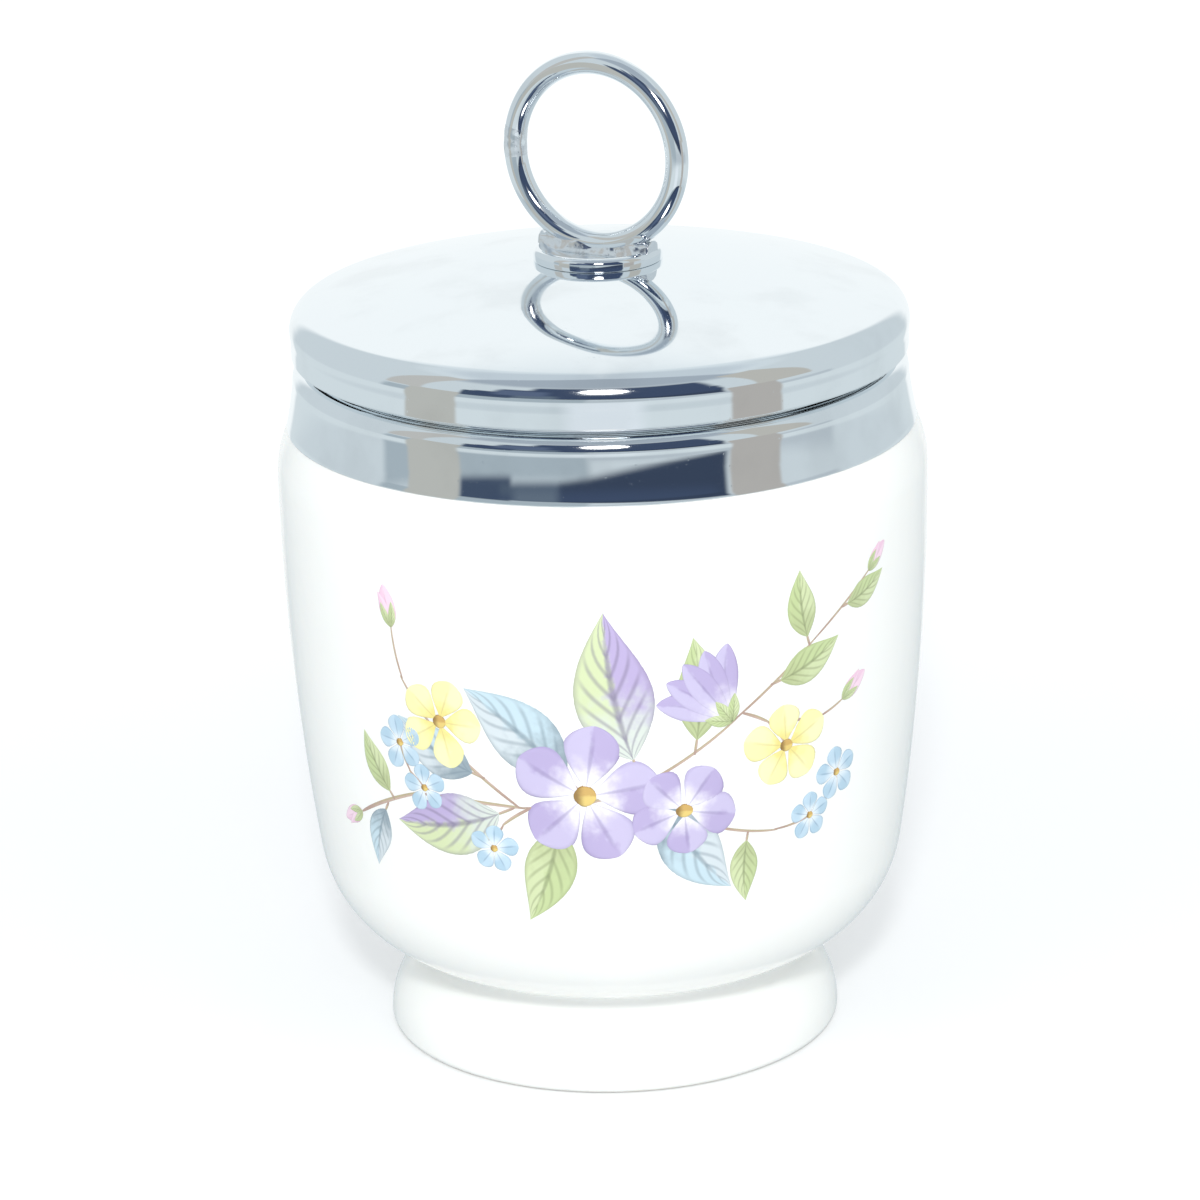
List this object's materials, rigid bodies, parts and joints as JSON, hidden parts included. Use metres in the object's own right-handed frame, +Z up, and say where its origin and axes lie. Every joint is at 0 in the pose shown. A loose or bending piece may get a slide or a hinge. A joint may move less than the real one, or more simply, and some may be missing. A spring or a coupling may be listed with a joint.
{
  "type": "egg coddler",
  "caption": "Porcelain egg coddler: barrel-shaped cup on a foot ring, threaded chrome band on its neck, domed chrome screw lid with an upright lifting ring.",
  "frame": {"origin": "centre of the plane the foot ring stands on", "axes": "+Z up along the cup's axis, X and Y across; the handle ring's plane is turned 28.8 degrees clockwise from +X seen from above"},
  "size_m": [0.0635, 0.0634, 0.0983],
  "materials": {
    "porcelain": "gloss",
    "chrome_plate": "mirror",
    "cement": "matte",
    "braze": "satin",
    "bare_metal": "satin",
    "print_colours": "gloss"
  },
  "bodies": {
    "cup": {"porcelain_cup": "porcelain", "screw_collar": "chrome_plate", "collar_cement": "cement"},
    "lid_carrier": {"backing_washer": "bare_metal"},
    "lid": {"lid_shell": "chrome_plate", "handle_boss": "chrome_plate", "ring_braze": "braze", "handle_ring": "chrome_plate"}
  },
  "joints": [
    {"name": "lid_rise", "type": "slide", "parent": "cup", "child": "lid_carrier", "axis": [0, 0, 1], "range_m": [0, 0.0032]},
    {"name": "lid_turn", "type": "hinge", "parent": "lid_carrier", "child": "lid", "pos_m": [0, 0, 0.077], "axis": [0, 0, 1], "range_deg": [0, 450]}
  ],
  "couplings": [
    {"joint": "lid_rise", "follows": "lid_turn", "m_per_rad": 0.00039789}
  ]
}
